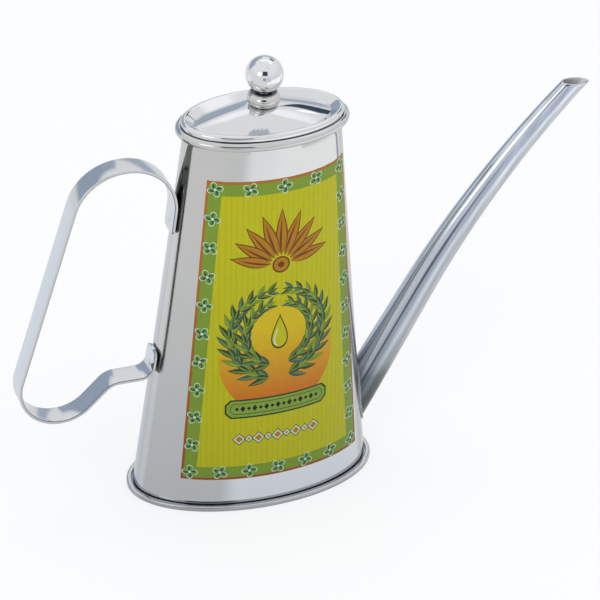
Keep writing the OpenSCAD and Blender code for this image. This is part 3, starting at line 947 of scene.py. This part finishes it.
def shape_finder(shapes, cell=4.0):
    """A search for the topmost shape over a point, through a grid of cells."""
    cells = {}
    for number, (outline, _) in enumerate(shapes):
        xs, ys = [p[0] for p in outline], [p[1] for p in outline]
        for i in range(int(min(xs) // cell), int(max(xs) // cell) + 1):
            for j in range(int(min(ys) // cell), int(max(ys) // cell) + 1):
                cells.setdefault((i, j), []).append(number)

    def inside(point, outline):
        found = False
        for p, q in zip(outline, outline[1:] + outline[:1]):
            if (p[1] > point[1]) != (q[1] > point[1]):
                if point[0] < p[0] + (q[0] - p[0]) * (point[1] - p[1]) / (q[1] - p[1]):
                    found = not found
        return found

    def top_shape(point):
        for number in reversed(cells.get((int(point[0] // cell), int(point[1] // cell)), [])):
            if inside(point, shapes[number][0]):
                return number
        return None

    return top_shape


def stepped(outline, step=5.0):
    """The closed outline again, with no side longer than step."""
    out = []
    for p, q in zip(outline, outline[1:] + outline[:1]):
        count = max(1, int(math.dist(p, q) / step))
        out += [Vector((lerp(p[0], q[0], k / count), lerp(p[1], q[1], k / count))) for k in range(count)]
    return out


def make_label():
    """A thin printed skin, cut along its printed shapes, that follows the wall."""
    shapes = label_print()
    flat, edges = [], []
    for outline, name in shapes:
        first = len(flat)
        flat += stepped(outline)
        edges += [(k, k + 1) for k in range(first, len(flat) - 1)] + [(len(flat) - 1, first)]
    for k in range(-23, 24):
        first = len(flat)
        flat += [Vector((k * 1.73 + 0.5, lerp(LABEL_Z0 + 0.2, LABEL_Z1 - 0.2, n / 30))) for n in range(31)]
        edges += [(n, n + 1) for n in range(first, len(flat) - 1)]
    spots, _, tris, _, _, _ = geometry.delaunay_2d_cdt(flat, edges, [], 0, 1e-5, False)
    top_shape = shape_finder(shapes)
    kept = [(tuple(tri), top_shape(sum((spots[v] for v in tri), Vector((0, 0))) / 3)) for tri in tris]
    kept = [(tri, source) for tri, source in kept if source is not None]
    count = len(spots)
    points = [on_wall(p, TOUCH + LABEL_T) for p in spots] + [on_wall(p, TOUCH) for p in spots]
    sides = {}
    for tri, _ in kept:
        for a, b in zip(tri, tri[1:] + tri[:1]):
            sides[(a, b)] = sides.get((a, b), 0) + 1
    skirt = [(a, b, b + count, a + count) for a, b in sides if (b, a) not in sides]
    front = [tri for tri, _ in kept]
    back = [tuple(v + count for v in reversed(tri)) for tri in front]
    names = list(INKS)
    made = piece("label", (points, front + back + skirt), INKS[names[0]], "can", "front_label")
    mesh = made.data
    for name in names[1:]:
        mesh.materials.append(INKS[name])
    for polygon, (_, source) in zip(mesh.polygons, kept):
        polygon.material_index = names.index(shapes[source][1])
    normals = []
    for k, p in enumerate(points):
        below = on_wall((spots[k % count][0], spots[k % count][1] - 0.5), TOUCH)
        above = on_wall((spots[k % count][0], spots[k % count][1] + 0.5), TOUCH)
        a, b = wall_half(p.z)
        out = Vector((p.x / (a * a), p.y / (b * b), 0)).normalized()
        up = (above - below).normalized()
        normal = (out - up * out.dot(up)).normalized()
        normals.append(normal if k < count else -normal)
    mesh.normals_split_custom_set_from_vertices(normals)
    return made


# Stage

def make_stage():
    """A pale floor with a faint shadow. Metal mirrors the studio round it, not the floor."""
    size = 4.0
    mesh = bpy.data.meshes.new("floor")
    mesh.from_pydata([(-size, -size, 0), (size, -size, 0), (size, size, 0), (-size, size, 0)], [], [(0, 1, 2, 3)])
    floor = bpy.data.objects.new("floor", mesh)
    bpy.context.scene.collection.objects.link(floor)
    floor.visible_glossy = False
    floor.visible_shadow = False
    material = bpy.data.materials.new("floor")
    material.use_nodes = True
    tree = material.node_tree
    link = tree.links.new
    tree.nodes.clear()
    out = node(tree, "ShaderNodeOutputMaterial")
    plain = node(tree, "ShaderNodeBsdfDiffuse", {"Color": (0.86, 0.88, 0.92, 1)})
    glow = node(tree, "ShaderNodeEmission", {"Color": (1, 1, 1, 1), "Strength": 1.0})
    path = node(tree, "ShaderNodeLightPath")
    share = node(tree, "ShaderNodeMath", {1: 0.72}, operation="MULTIPLY")
    link(path.outputs["Is Camera Ray"], share.inputs[0])
    mix = node(tree, "ShaderNodeMixShader")
    link(share.outputs[0], mix.inputs["Fac"])
    link(plain.outputs[0], mix.inputs[1])
    link(glow.outputs[0], mix.inputs[2])
    link(mix.outputs[0], out.inputs["Surface"])
    mesh.materials.append(material)


# The studio as the metal sees it: soft-edged patches, each with its azimuth and elevation in degrees,
# their half widths, the softness of its edge and its colour
STUDIO_HIGH = (0.92, 0.93, 0.94)
STUDIO_LEVEL = (0.80, 0.83, 0.87)
STUDIO_LOW = (0.84, 0.84, 0.83)
STUDIO_PATCHES = [
    (-39, -23, 54, 11, 12, (1.18, 1.20, 1.22)),
    (50, 58, 54, 9, 9, (1.15, 1.18, 1.23)),
    (72, 12, 26, 10, 10, (0.46, 0.53, 0.63)),
    (112, 20, 30, 18, 8, (0.37, 0.45, 0.56)),
    (120, -26, 14, 12, 12, (0.86, 0.91, 0.99)),
    (152, -28, 12, 16, 10, (0.98, 0.99, 1.0)),
    (41, 33.5, 10, 6, 2, (0.05, 0.08, 0.12)),
    (88, 22, 9, 10, 4, (0.42, 0.49, 0.60)),
    (-77.5, 67.5, 3.2, 3, 2, (0.50, 0.55, 0.62)),
    (-73.5, 64.5, 3.2, 3, 2, (0.50, 0.55, 0.62)),
    (-69.5, 61.5, 3.2, 3, 2, (0.50, 0.55, 0.62)),
    (-65.0, 58.5, 3.2, 3, 2, (0.50, 0.55, 0.62)),
    (-92, -8, 22, 14, 14, (0.66, 0.71, 0.79)),
    (-143, 23, 11, 8, 5, (2.1, 2.1, 2.1)),
    (-106, 31, 17, 13, 4, (0.04, 0.06, 0.09)),
    (-110, -5, 8, 5, 3, (0.20, 0.22, 0.24)),
    (30, 43.5, 2.5, 2, 2, (1.7, 1.7, 1.7)),
]


def soft_mask(tree, source, middle, half, soft):
    """One within half of the middle and nought beyond it, with a soft edge."""
    away = node(tree, "ShaderNodeMath", {1: middle}, operation="SUBTRACT")
    tree.links.new(source, away.inputs[0])
    size = node(tree, "ShaderNodeMath", operation="ABSOLUTE")
    tree.links.new(away.outputs[0], size.inputs[0])
    mask = node(tree, "ShaderNodeMapRange", {"From Min": half + soft / 2, "From Max": half - soft / 2},
                interpolation_type="SMOOTHSTEP")
    tree.links.new(size.outputs[0], mask.inputs["Value"])
    return mask.outputs["Result"]


def studio_colour(tree):
    link = tree.links.new
    place = node(tree, "ShaderNodeTexCoord")
    split = node(tree, "ShaderNodeSeparateXYZ")
    link(place.outputs["Generated"], split.inputs[0])
    rise = node(tree, "ShaderNodeMath", operation="ARCSINE")
    link(split.outputs["Z"], rise.inputs[0])
    height = node(tree, "ShaderNodeMapRange", {"From Min": -0.5, "From Max": 0.6})
    link(rise.outputs[0], height.inputs["Value"])
    colour = ramp(tree, height.outputs["Result"], [(0.0, STUDIO_LOW), (0.45, STUDIO_LEVEL), (1.0, STUDIO_HIGH)])
    for azimuth, elevation, half_az, half_el, soft, tone in STUDIO_PATCHES:
        turned = node(tree, "ShaderNodeVectorRotate", {"Angle": -math.radians(azimuth)}, rotation_type="Z_AXIS")
        link(place.outputs["Generated"], turned.inputs["Vector"])
        parts = node(tree, "ShaderNodeSeparateXYZ")
        link(turned.outputs[0], parts.inputs[0])
        turn = node(tree, "ShaderNodeMath", operation="ARCTAN2")
        link(parts.outputs["Y"], turn.inputs[0])
        link(parts.outputs["X"], turn.inputs[1])
        across = soft_mask(tree, turn.outputs[0], 0.0, math.radians(half_az), math.radians(soft))
        up = soft_mask(tree, rise.outputs[0], math.radians(elevation), math.radians(half_el), math.radians(soft))
        both = node(tree, "ShaderNodeMath", operation="MULTIPLY")
        link(across, both.inputs[0])
        link(up, both.inputs[1])
        mix = node(tree, "ShaderNodeMix", data_type="RGBA")
        link(both.outputs[0], mix.inputs["Factor"])
        link(colour, mix.inputs[6])
        mix.inputs[7].default_value = (*tone, 1)
        colour = mix.outputs[2]
    return colour


def make_world():
    world = bpy.data.worlds.new("studio")
    bpy.context.scene.world = world
    world.use_nodes = True
    tree = world.node_tree
    link = tree.links.new
    tree.nodes.clear()
    out = node(tree, "ShaderNodeOutputWorld")
    studio = node(tree, "ShaderNodeBackground", {"Strength": 1.0})
    link(studio_colour(tree), studio.inputs["Color"])
    white = node(tree, "ShaderNodeBackground", {"Color": (1, 1, 1, 1), "Strength": 1.0})
    path = node(tree, "ShaderNodeLightPath")
    mix = node(tree, "ShaderNodeMixShader")
    link(path.outputs["Is Camera Ray"], mix.inputs["Fac"])
    link(studio.outputs[0], mix.inputs[1])
    link(white.outputs[0], mix.inputs[2])
    link(mix.outputs[0], out.inputs["Surface"])


def area_light(name, place, aim, size, power, colour=(1, 1, 1)):
    data = bpy.data.lights.new(name, "AREA")
    data.shape = "RECTANGLE"
    data.size, data.size_y = size
    data.energy = power
    data.color = colour
    lamp = bpy.data.objects.new(name, data)
    bpy.context.scene.collection.objects.link(lamp)
    lamp.visible_glossy = False
    lamp.location = place
    lamp.rotation_euler = (Vector(aim) - Vector(place)).to_track_quat("-Z", "Y").to_euler()


def make_camera():
    turn, rise, roll = math.radians(-21.549), math.radians(33.542), math.radians(2.779)
    away, lens = 1.30784, 191.65
    target = Vector((0.020, 0, 0.090))
    side_off, up_off = -0.00049, -0.007889
    back = Vector((math.sin(turn) * math.cos(rise), -math.cos(turn) * math.cos(rise), math.sin(rise)))
    right = Vector((math.cos(turn), math.sin(turn), 0))
    up = back.cross(right)
    data = bpy.data.cameras.new("camera")
    data.lens = lens
    data.sensor_width = 36
    data.clip_end = 20
    camera = bpy.data.objects.new("camera", data)
    bpy.context.scene.collection.objects.link(camera)
    x_axis = right * math.cos(roll) + up * math.sin(roll)
    y_axis = up * math.cos(roll) - right * math.sin(roll)
    matrix = Matrix((x_axis, y_axis, back)).transposed().to_4x4()
    matrix.translation = target + right * side_off + up * up_off + back * away
    camera.matrix_world = matrix
    bpy.context.scene.camera = camera


make_camera()
make_world()
make_stage()
area_light("key", (-0.9, -1.1, 1.3), (0, 0, 0.08), (0.9, 0.9), 5)
area_light("fill", (1.2, -0.7, 0.9), (0, 0, 0.08), (0.8, 1.2), 2)
area_light("top", (0.1, 0.3, 1.6), (0, 0, 0.1), (1.2, 1.0), 3)
make_wall()
make_base()
make_spout()
make_solder()
make_strap()
make_lid()
make_sleeve()
make_knob()
make_screw()
make_weld("weld_upper", WELD_TOP)
make_weld("weld_lower", WELD_LOW)
make_label()

bpy.context.scene.view_settings.view_transform = "Standard"
